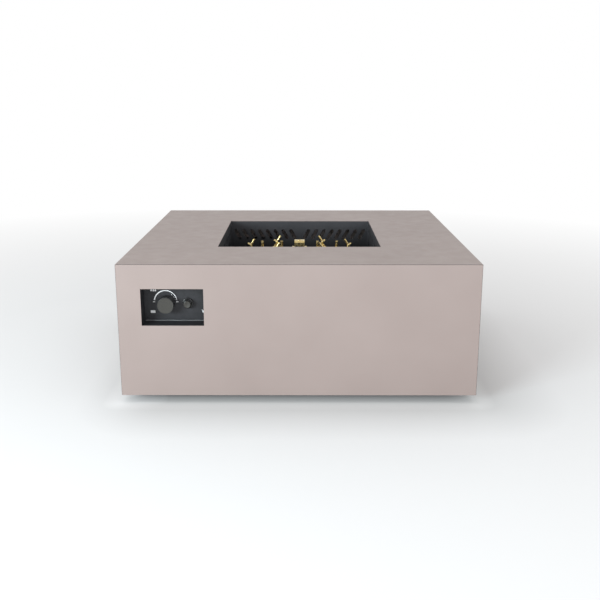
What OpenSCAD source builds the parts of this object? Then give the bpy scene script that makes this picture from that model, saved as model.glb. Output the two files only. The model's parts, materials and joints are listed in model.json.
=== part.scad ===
// Square gas fire pit table: a mitred sheet-steel shell on levelling feet, a slotted fire tray,
// a brass jet burner and a recessed gas control. The origin is on the floor under the centre,
// the front faces -Y, and sizes are in millimetres.

/* [Shell] */
// Outside width and depth of the square shell
body_w = 1067; // [960:1:1280]
// Height of the shell from its bottom edge to the tabletop
body_h = 402; // [340:1:520]
// Thickness of the shell's sheet
sheet_t = 2; // [1.5:0.5:3]
// Clear height between the floor and the shell's bottom edge
floor_gap = 25; // [25:1:45]
// Width of the fine groove where two shell panels meet
seam_gap = 1.6; // [0.6:0.1:2]
// Side of the square opening in the tabletop
opening_w = 523; // [460:1:640]

/* [Fire tray] */
// Thickness of the tray's sheet
tray_t = 1.5; // [1:0.5:3]
// Depth of the tray's floor below the tabletop
tray_depth = 125; // [110:1:160]
// Width of the tray's flange under the tabletop
tray_flange = 28; // [24:1:36]
// Width of one vent slot
slot_w = 13; // [6:1:14]
// Length of one vent slot between the centres of its round ends
slot_run = 29; // [18:1:32]
// Lean of a vent slot from upright
slot_lean = 30; // [0:1:35]
// Distance from one vent slot to the next
slot_pitch = 30; // [26:1:34]
// Distance from the middle of a wall to its first vent slot
slot_first = 26; // [22:1:32]
// Least distance from a vent slot's middle to the corner of the tray
slot_margin = 20; // [18:1:40]
// Drop from the tabletop to the middle of the slots
slot_drop = 52; // [45:1:60]

/* [Burner] */
// Width of the square hub block
hub_w = 35; // [34:1:44]
// Drop from the tabletop to the hub's top
hub_drop = 26; // [20:1:40]
// Drop from the tabletop to the middle of the burner pipes
pipe_drop = 62; // [58:1:75]
// Outside diameter of the burner pipes
pipe_d = 17.1; // [13.7:0.1:17.1]
// Bore of the burner pipes
pipe_bore = 12.4; // [8:0.1:12.6]
// Distance from the centre to each cross fitting
cross_x = 82; // [80:1:92]
// Distance from the centre to each end cap of the trunk
end_x = 172; // [164:1:200]
// Distance from the trunk to each end cap of a branch
branch_y = 65; // [60:1:90]
// Places of the upright jets along each arm
upright_x = [63, 131];
// Lean of a long nozzle from upright
long_lean = 33; // [15:1:38]
// Reach of a long nozzle from the middle of its head
long_reach = 25; // [20:1:34]
// Lean of a short nozzle from upright
short_lean = 58; // [45:1:62]
// Reach of a short nozzle from the middle of its head
short_reach = 12; // [11:1:18]

/* [Control recess] */
// Distance from the shell's left side to the cut-out
cutout_left = 70; // [60:1:110]
// Width of the cut-out
cutout_w = 184; // [175:1:200]
// Height of the cut-out
cutout_h = 111; // [100:1:120]
// Drop from the tabletop to the cut-out
cutout_drop = 73.5; // [60:0.5:100]
// Depth of the control plate behind the shell's face
recess_depth = 60; // [45:1:70]
// Extra inside width of the control box past the cut-out's right edge
box_extra = 23; // [20:1:45]
// Thickness of the control box's sheet
box_t = 1.5; // [1:0.5:2]
// Distance from the cut-out's bottom edge to the controls' axes
control_up = 54; // [48:0.5:62]
// Distance from the cut-out's left edge to the knob's axis
knob_in = 67.5; // [60:0.5:70]
// Distance from the cut-out's left edge to the ignition button's axis
button_in = 130.5; // [127:0.5:140]
// Diameter of the knob
knob_d = 50; // [40:1:52]
// Reach of the knob in front of the control plate
knob_reach = 36; // [34:1:42]
// Diameter of the ignition button's cap
button_d = 17; // [14:0.5:18]
// Diameter of the ignition button's head
head_d = 21; // [19:0.5:23]
// Reach of the ignition button in front of the control plate
button_reach = 22.5; // [20:0.5:26]
// Travel of the knob and the spindle when pushed
push_travel = 4; // [3:0.5:5]
// Travel of the ignition button
button_travel = 4; // [3:0.5:5]

/* [Access panel] */
// Width of the access opening in the back wall
access_w = 320; // [240:1:360]
// Height of the access opening
access_h = 220; // [160:1:240]
// Distance from the middle of the back wall to the middle of the opening
access_x = -250; // [-280:1:280]
// Gap round the access panel
access_gap = 1.5; // [1:0.1:3]
// Diameter of the panel's finger hole
finger_d = 26; // [22:1:32]

/* [Frame and feet] */
// Leg of the base frame's angle
base_leg = 40; // [35:1:50]
// Thickness of the base frame's angle
base_t = 4; // [3:0.5:5]
// Leg of the upper frame's, posts' and rails' angle
post_leg = 30; // [25:1:35]
// Thickness of the upper frame's, posts' and rails' angle
post_t = 3; // [2:0.5:4]
// Distance from a shell face to the middle of a levelling foot
foot_inset = 105; // [95:1:140]
// Diameter of a foot's stud
stud_d = 10; // [8:1:12]
// Diameter of a foot's pad
pad_d = 50; // [40:1:60]
// Travel of a levelling foot
foot_travel = 15; // [10:1:20]

/* [Gas line] */
// Outside diameter of the flexible gas lines
hose_d = 16; // [12:1:18]
// Diameter of the gas inlet's male end
inlet_d = 15.9; // [12.7:0.1:19]
// Length of the gas inlet's male end
inlet_len = 16; // [14:1:20]

/* [Hidden] */
$fn = 64;

half = body_w / 2;              // from the centre to a shell face
top_z = floor_gap + body_h;     // height of the tabletop
inner = half - sheet_t;         // from the centre to a shell panel's inner face
under = top_z - sheet_t;        // underside of the tabletop's sheet
fit = 0.05;                     // radial clearance of a seated or sliding fit
loose = 0.5;                    // clearance between a piece and the hole it drops into
eps = 1;                        // how far a cutter runs past the face it cuts

pipe_z = top_z - pipe_drop;
pipe_r = pipe_d / 2;
seat = 4;                       // how far a pipe screws into a fitting
cap_seat = 6;                   // how far a pipe screws into an end cap
fitting_r = pipe_r + 3;         // outside radius of a fitting's band
fitting_half = 13;              // half the length of a cross fitting
cap_r = pipe_r + 2.45;
cap_half = 11;                  // half the length of an end cap
hub_floor_drop = 82;            // drop from the tabletop to the hub's underside
hub_chamfer = 6.5;              // chamfer along the hub's front and back edges
hub_socket = 10;                // how far the riser screws into the hub
riser_r = 10.65;
riser_bore = 8;                 // radius of the riser's bore
riser_below = 58;               // how far the riser reaches below the tray's floor
nut_t = 8;                      // thickness of the pipe nuts
plug_r = 7;
plug_len = 8;
head_r = 6;                     // radius of a jet head's barrel
head_z = pipe_z + cap_r + 7;    // middle of a jet head
nozzle_r = 3.5;
nozzle_seat = 2.5;              // radius of a nozzle's screwed end
upright_r = 4.6;
jet_port_r = 3;                 // radius of an upright jet's screwed end
upright_top = top_z - 29;
tray_floor = top_z - tray_depth;

cut_x = -half + cutout_left;
box_w = cutout_w + box_extra;   // inside width of the control box
cut_z = top_z - cutout_drop - cutout_h;
plate_y = -half + recess_depth; // front face of the control plate
plate_t = 2;
box_lip = 9;                    // inward lip behind the control plate
lip_reach = 4;                  // how far the control plate's folded edge comes forward
knob_x = cut_x + knob_in;
button_x = cut_x + button_in;
axis_z = cut_z + control_up;
spindle_r = 3;
flat_in = 1.6;                  // from the spindle's axis to its flat
spindle_tail = 30;              // how far the spindle reaches behind the plate
spindle_back = 6;               // from the knob's face to the spindle's end
neck_r = 7;                     // radius of the valve's threaded neck
neck_reach = 8;                 // how far that neck stands in front of the plate
collar_t = 2;
spring_len = 8;
spring_wire = 0.45;             // radius of the springs' wire
valve_len = 46;
valve_w = 40;
port_len = 14;
port_r = 9;
port_bore = 5;                  // radius of the valve's ports
collar_u = neck_reach + spring_len;
knob_foot = push_travel + 1.5;  // gap between the plate and the knob's skirt
knob_wall = 3;
hub_u = collar_u + collar_t + 0.3;
bezel_r = head_d / 2 + 5.5;
bezel_t = 5;
guard_wall = 2.3;               // wall of the ring round the button's head
guard_r = head_d / 2 + fit + guard_wall;
guard_gap = 0.5;                // from the ring to the cap's edge when the button is right in
barrel_r = 10.8;
barrel_len = 74;
battery_len = 50.5;
battery_back = 6;               // from the barrel's closed end to the battery
button_root = -6;               // where the button starts, behind the plate's face
button_crown = 1.5;             // chamfered top of the button
guard_u = button_reach - button_crown - button_travel + guard_gap;
head_foot = bezel_t + button_travel + guard_gap; // back of the button's head

foot_pos = half - foot_inset;
pad_h = 9;
foot_nut_t = 8;
boss_h = 14;
boss_wall = 6;
stud_spare = 16;                // stud left above its boss when the foot is right down
stud_top = floor_gap + boss_h + foot_travel + stud_spare;
gusset_w = foot_inset - sheet_t + 36;

access_z = floor_gap + base_leg + 20;   // bottom of the access opening
jamb_w = 30;
jamb_lap = 20;                  // how far the jamb laps behind the access panel
access_rest = 0.3;              // gap between the access panel and the jamb
magnet_r = 6;
magnet_len = 6;
inlet_pos = [-half + sheet_t + base_leg + 22, 60];
inlet_plate_z = floor_gap + 46;
inlet_plate_t = 3;
inlet_top = inlet_plate_z + 32;
inlet_bore = 4.5;               // radius of the bore through the inlet
inlet_hex = 22;                 // across the flats of the inlet's nuts
electrode_pos = [24, -46];
thermo_pos = [-2, -46];
electrode_foot = tray_floor - tray_t - 18;
thermo_foot = tray_floor - tray_t - 14;
lead_hole_r = 4;                // holes for the leads in the tray's floor
pilot_shelf = tray_floor + 42;
probe_r = 3.2;                  // radius of the electrode's sleeve and of the probe

// routes of the gas lines and leads: the first and last stretch of each is straight
valve_end = plate_y + plate_t + valve_len + port_len;
outlet = [knob_x, plate_y + 32, axis_z - valve_w / 2 - port_len];
line_r = hose_d / 2;
lead_r = 2;
burner_route = [
    outlet, outlet - [0, 0, 16], [-372, -400, 212],
    [-290, -330, 186], [-190, -200, 182], [-95, -90, 188], [-28, -22, 205],
    [0, 0, tray_floor - riser_below - 18], [0, 0, tray_floor - riser_below],
];
inlet_route = [
    [inlet_pos[0], inlet_pos[1], inlet_top], [inlet_pos[0], inlet_pos[1], inlet_top + 18],
    [-466, 30, 175], [-450, -80, 230], [-436, -220, 276], [-412, -320, 298],
    [knob_x, valve_end + 22, axis_z], [knob_x, valve_end, axis_z],
];
ignition_route = [
    [electrode_pos[0], electrode_pos[1], electrode_foot],
    [electrode_pos[0], electrode_pos[1], electrode_foot - 12],
    [10, -80, 254], [-40, -140, 248], [-160, -250, 246], [-270, -330, 262],
    [button_x, plate_y + barrel_len + 16, axis_z], [button_x, plate_y + barrel_len, axis_z],
];
thermo_route = [
    [thermo_pos[0], thermo_pos[1], thermo_foot], [thermo_pos[0], thermo_pos[1], thermo_foot - 12],
    [-22, -76, 264], [-70, -140, 262], [-190, -240, 272], [-280, -310, 306], [-350, -356, 318],
    [-362, -410, 312], [knob_x + 34, plate_y + 30, axis_z + 12], [knob_x + 20, plate_y + 30, axis_z + 12],
];

// ---- small helpers ----

module along_x() { rotate([0, 90, 0]) children(); }
module along_y() { rotate([-90, 0, 0]) children(); }
module quarter_turns() { for (k = [0 : 3]) rotate([0, 0, 90 * k]) children(); }
module both_sides() { for (s = [-1, 1]) scale_x(s) children(); }
module scale_x(s) { mirror([s < 0 ? 1 : 0, 0, 0]) children(); }
module four_corners(x, y) { for (sx = [-1, 1], sy = [-1, 1]) translate([sx * x, sy * y, 0]) children(); }
module hexagon(across, h) { cylinder(r = across / sqrt(3), h = h, $fn = 6); }

// a tube from the origin along +Z
module tube(ro, ri, h) {
    difference() {
        cylinder(r = ro, h = h);
        translate([0, 0, -eps]) cylinder(r = ri, h = h + 2 * eps);
    }
}

// points on the control's axes: u is the distance in front of the control plate
module on_plate(x, u = 0) { translate([x, plate_y - u, axis_z]) rotate([90, 0, 0]) children(); }

// ---- a round tube swept along a smooth curve through chosen points ----

function blend(a, b, c, d, t) =
    0.5 * (2 * b + (c - a) * t + (2 * a - 5 * b + 4 * c - d) * t * t + (3 * b - a - 3 * c + d) * t * t * t);
function knot(p, i) = p[max(0, min(len(p) - 1, i))];
function curve(p, steps) = concat(
    [p[0]],
    [for (i = [1 : len(p) - 3], s = [0 : steps - 1]) blend(p[i - 1], p[i], p[i + 1], p[i + 2], s / steps)],
    [p[len(p) - 2], p[len(p) - 1]]);
function unit(v) = v / norm(v);
function side_of(t) = abs(t[2]) > 0.8 ? unit(cross(t, [0.2, 1, 0])) : unit(cross(t, [0, 0, 1]));
function carried(n, t) = unit(n - (n * t) * t);
function tangent(p, i) = unit(knot(p, i + 1) - knot(p, i - 1));
function normals(p, i = 0, n = undef, out = []) =
    i == len(p) ? out :
    let (m = i == 0 ? side_of(tangent(p, 0)) : carried(n, tangent(p, i)))
    normals(p, i + 1, m, concat(out, [m]));

module swept_tube(p, r, sides) {
    n = normals(p);
    ring = [for (i = [0 : len(p) - 1], k = [0 : sides - 1])
        let (t = tangent(p, i), b = cross(t, n[i]), a = 360 * k / sides)
        p[i] + r * (cos(a) * n[i] + sin(a) * b)];
    last = (len(p) - 1) * sides;
    polyhedron(ring, concat(
        [[for (k = [0 : sides - 1]) k]],
        [for (i = [0 : len(p) - 2], k = [0 : sides - 1])
            let (a = i * sides + k, b = i * sides + (k + 1) % sides) [a, a + sides, b + sides, b]],
        [[for (k = [sides - 1 : -1 : 0]) last + k]]));
}

// ---- shell ----

// the tabletop and the four walls meet in mitres, each face short of the corner by half the seam
module mitre_profile(h) {
    w = half - seam_gap / 2;
    polygon([[-w, 0], [w, 0], [w - h, h], [h - w, h]]);
}

module top_panel() color("rosybrown") difference() {
    intersection() {
        translate([0, half, top_z]) rotate([90, 0, 0]) mirror([0, 1, 0])
            linear_extrude(body_w) mitre_profile(sheet_t);
        translate([-half, 0, top_z]) rotate([90, 0, 90]) mirror([0, 1, 0])
            linear_extrude(body_w) mitre_profile(sheet_t);
    }
    translate([-opening_w / 2, -opening_w / 2, under - eps]) cube([opening_w, opening_w, sheet_t + 2 * eps]);
}

module wall() {
    crest = top_z - seam_gap / 2;
    intersection() {
        translate([0, -half, floor_gap]) linear_extrude(body_h) mitre_profile(sheet_t);
        translate([-half, 0, 0]) rotate([90, 0, 90]) linear_extrude(body_w)
            polygon([[-half, floor_gap], [-half, crest], [sheet_t - half, crest - sheet_t],
                     [sheet_t - half, floor_gap]]);
    }
}

module front_panel() color("rosybrown") difference() {
    wall();
    translate([cut_x, -half - eps, cut_z]) cube([cutout_w, sheet_t + 2 * eps, cutout_h]);
}

module right_panel() color("rosybrown") rotate([0, 0, 90]) wall();
module left_panel() color("rosybrown") rotate([0, 0, -90]) wall();

module back_panel() color("rosybrown") difference() {
    rotate([0, 0, 180]) wall();
    translate([access_x - access_w / 2, inner - eps, access_z]) cube([access_w, sheet_t + 2 * eps, access_h]);
}

// a ring of strip behind the access opening, which the access panel rests against
module access_jamb() color("dimgray") difference() {
    translate([access_x - access_w / 2 - jamb_w + jamb_lap, inner - sheet_t, access_z - jamb_w + jamb_lap])
        cube([access_w + 2 * (jamb_w - jamb_lap), sheet_t, access_h + 2 * (jamb_w - jamb_lap)]);
    translate([access_x - access_w / 2 + jamb_lap, inner - sheet_t - eps, access_z + jamb_lap])
        cube([access_w - 2 * jamb_lap, sheet_t + 2 * eps, access_h - 2 * jamb_lap]);
    at_magnets() translate([0, 0, -eps]) cylinder(r = magnet_r + fit, h = sheet_t + 2 * eps);
}

// children's +Z points inwards from the jamb's outer face
module at_magnets() {
    for (sx = [-1, 1], sz = [-1, 1])
        translate([access_x + sx * (access_w / 2 - 36), inner, access_z + access_h / 2
            + sz * (access_h / 2 - jamb_lap / 2)]) rotate([90, 0, 0]) children();
}

module access_magnets() color("silver") at_magnets() cylinder(r = magnet_r, h = magnet_len);

module access_panel() color("rosybrown") difference() {
    translate([access_x - access_w / 2 + access_gap, inner + access_rest, access_z + access_gap])
        cube([access_w - 2 * access_gap, sheet_t - access_rest, access_h - 2 * access_gap]);
    translate([access_x, inner - eps, access_z + access_h - jamb_lap - finger_d / 2 - 4])
        along_y() cylinder(d = finger_d, h = sheet_t + 2 * eps);
}

// ---- frame ----

// an angle's two legs, from the corner at the origin towards +X and +Y
module angle_section(leg, t) {
    polygon([[0, 0], [leg, 0], [leg, t], [t, t], [t, leg], [0, leg]]);
}

// a square ring of angle: its upright leg touches the walls and its flat leg points inwards
module angle_ring(leg, t, z, flat_on_top) {
    flat_z = flat_on_top ? z + leg - t : z;
    difference() {
        translate([-inner, -inner, z]) cube([2 * inner, 2 * inner, leg]);
        translate([t - inner, t - inner, z - eps]) cube([2 * (inner - t), 2 * (inner - t), leg + 2 * eps]);
    }
    difference() {
        translate([-inner, -inner, flat_z]) cube([2 * inner, 2 * inner, t]);
        translate([leg - inner, leg - inner, flat_z - eps])
            cube([2 * (inner - leg), 2 * (inner - leg), t + 2 * eps]);
    }
}

module base_frame() color("dimgray") difference() {
    union() {
        angle_ring(base_leg, base_t, floor_gap, false);
        for (sx = [-1, 1], sy = [-1, 1]) {
            translate([sx > 0 ? inner - gusset_w : -inner, sy > 0 ? inner - gusset_w : -inner, floor_gap])
                cube([gusset_w, gusset_w, base_t]);
            translate([sx * foot_pos, sy * foot_pos, floor_gap]) cylinder(r = stud_d / 2 + boss_wall, h = boss_h);
        }
    }
    four_corners(foot_pos, foot_pos) translate([0, 0, floor_gap - eps])
        cylinder(r = stud_d / 2 + fit, h = boss_h + 2 * eps);
}

module top_frame() color("dimgray") angle_ring(post_leg, post_t, under - post_leg, true);

module corner_posts() {
    h = under - post_leg - floor_gap - base_leg;
    color("dimgray") quarter_turns() translate([-inner, -inner, floor_gap + base_leg])
        linear_extrude(h) angle_section(post_leg, post_t);
}

// an angle bar from the front of the upper frame to its back, under the tray's side flange
module tray_rail() {
    x = opening_w / 2 + tray_t + 1;
    len = 2 * (inner - post_leg);
    translate([x, -len / 2, under - tray_t]) rotate([-90, 0, 0]) linear_extrude(len)
        polygon([[0, 0], [post_leg, 0], [post_leg, post_leg], [post_leg - post_t, post_leg],
                 [post_leg - post_t, post_t], [0, post_t]]);
}

// ---- fire tray ----

module slot(lean) {
    rotate([0, 0, lean]) union() {
        square([slot_w, slot_run], center = true);
        for (s = [-1, 1]) translate([0, s * slot_run / 2]) circle(d = slot_w);
    }
}

// the slots of one wall lean towards its middle as they go down
module slot_row() {
    for (s = [-1, 1], x = [slot_first : slot_pitch : opening_w / 2 - slot_margin])
        translate([s * x, 0]) slot(-s * slot_lean);
}

module fire_tray() {
    w = opening_w / 2;
    burner_hole = riser_r + loose;
    drain_in = 60;
    drain_d = 9;
    color("darkslategray") difference() {
        union() {
            translate([-w - tray_t, -w - tray_t, tray_floor - tray_t])
                cube([2 * (w + tray_t), 2 * (w + tray_t), tray_depth - sheet_t + tray_t]);
            translate([-w - tray_flange, -w - tray_flange, under - tray_t])
                cube([2 * (w + tray_flange), 2 * (w + tray_flange), tray_t]);
        }
        translate([-w, -w, tray_floor]) cube([2 * w, 2 * w, tray_depth]);
        quarter_turns() translate([0, -w + eps, top_z - slot_drop]) rotate([90, 0, 0])
            linear_extrude(tray_t + 2 * eps) slot_row();
        translate([0, 0, tray_floor - 2 * eps - tray_t]) cylinder(r = burner_hole, h = tray_t + 4 * eps);
        for (p = [electrode_pos, thermo_pos]) translate([p[0], p[1], tray_floor - 2 * eps - tray_t])
            cylinder(r = lead_hole_r, h = tray_t + 4 * eps);
        // rain drains near the corners and half way along the sides
        for (x = [-1, 0, 1], y = [-1, 0, 1]) if (x != 0 || y != 0)
            translate([x * (w - drain_in), y * (w - drain_in), tray_floor - 2 * eps - tray_t])
                cylinder(d = drain_d, h = tray_t + 4 * eps);
    }
}

// ---- burner ----

module burner_hub() {
    h = hub_floor_drop - hub_drop;
    r = hub_w / 2;
    shoulder = h - hub_chamfer;
    profile = [[-r, 0], [r, 0], [r, shoulder], [r - hub_chamfer, h], [hub_chamfer - r, h], [-r, shoulder]];
    color("goldenrod") difference() {
        translate([-r, 0, top_z - hub_floor_drop]) rotate([90, 0, 90]) linear_extrude(hub_w) polygon(profile);
        translate([-r - eps, 0, pipe_z]) along_x() cylinder(r = pipe_bore / 2, h = hub_w + 2 * eps);
        for (s = [-1, 1]) scale_x(s) translate([r - seat - 2, 0, pipe_z]) along_x()
            cylinder(r = pipe_r + fit, h = seat + 2 + eps);
        translate([0, 0, top_z - hub_floor_drop - eps]) cylinder(r = riser_r + fit, h = hub_socket + eps);
        translate([0, 0, top_z - hub_floor_drop]) cylinder(r = pipe_bore / 2, h = h - plug_len - 4);
        translate([0, 0, top_z - hub_drop - plug_len]) cylinder(r = plug_r, h = plug_len + eps);
    }
}

module hub_plug() color("goldenrod") translate([0, 0, top_z - hub_drop - plug_len]) difference() {
    cylinder(r = plug_r - fit, h = plug_len + 0.6);
    translate([0, 0, plug_len / 2]) hexagon(7, plug_len);
}

module burner_riser() {
    foot = tray_floor - riser_below;
    color("goldenrod") translate([0, 0, foot]) tube(riser_r, riser_bore, top_z - hub_floor_drop + hub_socket - foot);
}

module riser_locknuts() color("goldenrod")
    for (z = [tray_floor, tray_floor - tray_t - nut_t]) translate([0, 0, z]) difference() {
        hexagon(32, nut_t);
        translate([0, 0, -eps]) cylinder(r = riser_r + fit, h = nut_t + 2 * eps);
    }

module arm_nuts() color("goldenrod") for (s = [-1, 1]) scale_x(s)
    translate([hub_w / 2, 0, pipe_z]) along_x() difference() {
        rotate([0, 0, 30]) hexagon(27, nut_t);
        translate([0, 0, -eps]) cylinder(r = pipe_r + fit, h = nut_t + 2 * eps);
    }

// a pipe along +X from x0 to x1, drilled on top for an upright jet
module arm_pipe(x0, x1, port) difference() {
    translate([x0, 0, pipe_z]) along_x() tube(pipe_r, pipe_bore / 2, x1 - x0);
    translate([port, 0, pipe_z]) cylinder(r = jet_port_r + fit, h = pipe_r + eps);
}

module inner_arms() color("goldenrod") for (s = [-1, 1]) scale_x(s)
    arm_pipe(hub_w / 2 - seat - 2, cross_x - fitting_half + seat, upright_x[0]);

module outer_arms() color("goldenrod") for (s = [-1, 1]) scale_x(s)
    arm_pipe(cross_x + fitting_half - seat, end_x - cap_half + cap_seat, upright_x[1]);

// one arm of a fitting, from the middle outwards along +X
module fitting_arm() {
    along_x() cylinder(r = fitting_r - 1, h = fitting_half);
    translate([fitting_half - 4, 0, 0]) along_x() cylinder(r = fitting_r, h = 4);
}

module cross_fittings() color("goldenrod") for (s = [-1, 1]) translate([s * cross_x, 0, pipe_z]) difference() {
    quarter_turns() fitting_arm();
    for (a = [0, 90]) rotate([0, 0, a]) translate([-fitting_half - eps, 0, 0]) along_x()
        cylinder(r = pipe_bore / 2, h = 2 * (fitting_half + eps));
    quarter_turns() translate([fitting_half - seat, 0, 0]) along_x()
        cylinder(r = pipe_r + fit, h = seat + eps);
}

module branch_pipes() {
    y0 = fitting_half - seat;
    y1 = branch_y - cap_half + cap_seat;
    color("goldenrod") for (sx = [-1, 1], sy = [-1, 1])
        translate([sx * cross_x, sy > 0 ? y0 : -y1, pipe_z]) along_y() tube(pipe_r, pipe_bore / 2, y1 - y0);
}

// a closed cap on a pipe that comes from -X, with a port on top for a jet head
module end_cap() difference() {
    union() {
        translate([-cap_half, 0, 0]) along_x() cylinder(r = cap_r, h = 2 * cap_half - 4);
        translate([cap_half - 4, 0, 0]) along_x() cylinder(r1 = cap_r, r2 = cap_r - 3, h = 4);
    }
    translate([-cap_half - eps, 0, 0]) along_x() cylinder(r = pipe_r + fit, h = cap_seat + eps);
    translate([-cap_half, 0, 0]) along_x() cylinder(r = pipe_bore / 2, h = 2 * cap_half - 5);
    cylinder(r = 4 + fit, h = cap_r + eps);
}

// the six ends of the burner: children face away from the trunk or the middle
module at_ends() {
    for (s = [-1, 1]) translate([s * end_x, 0, pipe_z]) rotate([0, 0, s > 0 ? 0 : 180]) children();
    for (sx = [-1, 1], sy = [-1, 1])
        translate([sx * cross_x, sy * branch_y, pipe_z]) rotate([0, 0, sy * 90]) children();
}

// the same six places, with +X pointing away from the middle of the burner
module at_heads() {
    for (s = [-1, 1]) scale_x(s) {
        translate([end_x, 0, head_z]) children();
        for (sy = [-1, 1]) translate([cross_x, sy * branch_y, head_z]) children();
    }
}

module end_caps() color("goldenrod") at_ends() end_cap();

// a seat for a nozzle's screwed end, fed by a fine bore from the middle of the head
module head_port(lean) rotate([0, lean, 0]) {
    cylinder(r = 1, h = head_r);
    translate([0, 0, head_r - 3.1]) cylinder(r = nozzle_seat + fit, h = 8);
}

module jet_heads() {
    base = head_z - pipe_z - cap_r;
    color("goldenrod") at_heads() difference() {
        union() {
            translate([0, 0, 1 - head_r]) cylinder(r = head_r, h = head_r + 1);
            translate([0, 0, 2]) cylinder(r1 = head_r, r2 = head_r - 3, h = 3);
            translate([0, 0, -base]) hexagon(11, base - head_r + 1);
            translate([0, 0, -base - 3]) cylinder(r = 4, h = 4);
        }
        translate([0, 0, -base - 4]) cylinder(r = 1.4, h = base + 4);
        head_port(-long_lean);
        head_port(short_lean);
    }
}

// a nozzle from the origin along +Z: screwed end, collar and drilled tube
module nozzle(reach) difference() {
    union() {
        translate([0, 0, head_r - 3]) cylinder(r = nozzle_seat, h = 4);
        translate([0, 0, head_r + 0.3]) cylinder(r = nozzle_r + 0.7, h = 2.5);
        translate([0, 0, head_r + 1]) cylinder(r = nozzle_r, h = reach - head_r - 2);
        translate([0, 0, reach - 1]) cylinder(r1 = nozzle_r, r2 = nozzle_r - 0.8, h = 1);
    }
    translate([0, 0, head_r - 4]) cylinder(r = 1.5, h = reach);
    translate([0, 0, reach - 4]) cylinder(r = 2, h = 5);
}

module long_nozzles() color("goldenrod") at_heads() rotate([0, -long_lean, 0]) nozzle(long_reach);
module short_nozzles() color("goldenrod") at_heads() rotate([0, short_lean, 0]) nozzle(short_reach);

module upright_jets() {
    h = upright_top - pipe_z;
    color("goldenrod") for (s = [-1, 1], x = upright_x) translate([s * x, 0, pipe_z]) difference() {
        union() {
            translate([0, 0, pipe_bore / 2 + 0.5]) cylinder(r = jet_port_r, h = pipe_r - pipe_bore / 2 + 1);
            translate([0, 0, pipe_r]) hexagon(10, 5);
            translate([0, 0, pipe_r + 4]) cylinder(r = upright_r, h = h - pipe_r - 5.2);
            translate([0, 0, h - 1.2]) cylinder(r1 = upright_r, r2 = upright_r - 1, h = 1.2);
        }
        translate([0, 0, pipe_bore / 2]) cylinder(r = 1.5, h = h);
        translate([0, 0, h - 5]) cylinder(r = 2.6, h = 6);
    }
}

// ---- pilot: a bracket in front of the hub holds the electrode and the thermocouple ----

module pilot_bracket() {
    x0 = thermo_pos[0] - 12;
    w = electrode_pos[0] - thermo_pos[0] + 24;
    y = electrode_pos[1];
    color("silver") difference() {
        union() {
            translate([x0, y - 16, tray_floor]) cube([w, 28, tray_t]);
            translate([x0, y + 12 - tray_t, tray_floor]) cube([w, tray_t, pilot_shelf - tray_floor]);
            translate([x0, y - 10, pilot_shelf]) cube([w, 22, tray_t]);
        }
        for (p = [electrode_pos, thermo_pos]) translate([p[0], p[1], 0]) {
            translate([0, 0, pilot_shelf - eps]) cylinder(r = probe_r + fit, h = tray_t + 2 * eps);
            translate([0, 0, tray_floor - eps]) cylinder(r = lead_hole_r, h = tray_t + 2 * eps);
        }
    }
}

// a ceramic sleeve with a flange on the shelf and a thin wire at its tip
module spark_electrode() color("white") translate([electrode_pos[0], electrode_pos[1], 0]) {
    translate([0, 0, electrode_foot]) cylinder(r = probe_r, h = pilot_shelf + tray_t + 14 - electrode_foot);
    translate([0, 0, pilot_shelf + tray_t]) cylinder(r = 5, h = 4);
    translate([0, 0, pilot_shelf]) cylinder(r = 1.2, h = 34);
}

// a probe in a hex sleeve, with its thin tube below
module thermocouple() color("silver") translate([thermo_pos[0], thermo_pos[1], 0]) {
    translate([0, 0, thermo_foot]) cylinder(r = 2.4, h = pilot_shelf - thermo_foot + 2);
    translate([0, 0, pilot_shelf]) cylinder(r = probe_r, h = 28);
    translate([0, 0, pilot_shelf + tray_t]) hexagon(10, 4);
}

// ---- control box ----

module control_box() {
    y0 = -half + sheet_t;
    back = plate_y + plate_t;
    color("darkslategray") {
        difference() {
            translate([cut_x - box_t, y0, cut_z - box_t])
                cube([box_w + 2 * box_t, back + box_t - y0, cutout_h + 2 * box_t]);
            translate([cut_x, y0 - eps, cut_z]) cube([box_w, back - y0 + eps, cutout_h]);
            translate([cut_x + box_lip, back - eps, cut_z + box_lip])
                cube([box_w - 2 * box_lip, box_t + 2 * eps, cutout_h - 2 * box_lip]);
            at_plate_screws() translate([0, back - eps, 0]) along_y() cylinder(r = 1.6, h = box_t + 2 * eps);
        }
        difference() {
            translate([cut_x - 14, y0, cut_z - 14]) cube([box_w + 28, box_t, cutout_h + 28]);
            translate([cut_x - box_t / 2, y0 - eps, cut_z - box_t / 2])
                cube([box_w + box_t, box_t + 2 * eps, cutout_h + box_t]);
        }
    }
}

module at_plate_screws() {
    for (x = [cut_x + 6, cut_x + box_w - 6], z = [cut_z + 7, cut_z + cutout_h - 7]) translate([x, 0, z]) children();
}

module control_plate() {
    x0 = cut_x + fit;
    w = box_w - 2 * fit;
    z0 = cut_z + fit;
    h = cutout_h - 2 * fit;
    color("darkslategray") difference() {
        union() {
            translate([x0, plate_y, z0]) cube([w, plate_t, h]);
            translate([x0, plate_y - lip_reach, z0]) cube([w, lip_reach, box_t]);
            translate([x0, plate_y - lip_reach, z0]) cube([box_t, lip_reach, h]);
        }
        on_plate(knob_x, -plate_t - eps) cylinder(r = neck_r + fit, h = plate_t + 2 * eps);
        on_plate(button_x, -plate_t - eps) cylinder(r = barrel_r + fit, h = plate_t + 2 * eps);
        at_plate_screws() translate([0, plate_y - eps, 0]) along_y() cylinder(r = 2.1, h = plate_t + 2 * eps);
    }
}

module plate_screws() color("silver") at_plate_screws() {
    difference() {
        translate([0, plate_y, 0]) rotate([90, 0, 0]) cylinder(r1 = 3.6, r2 = 2.6, h = 2);
        translate([0, plate_y - 3, 0]) along_y() hexagon(2.4, 2);
    }
    translate([0, plate_y - 0.5, 0]) along_y() cylinder(r = 1.5, h = 9);
}

// ---- gas valve, spindle and knob ----

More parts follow.
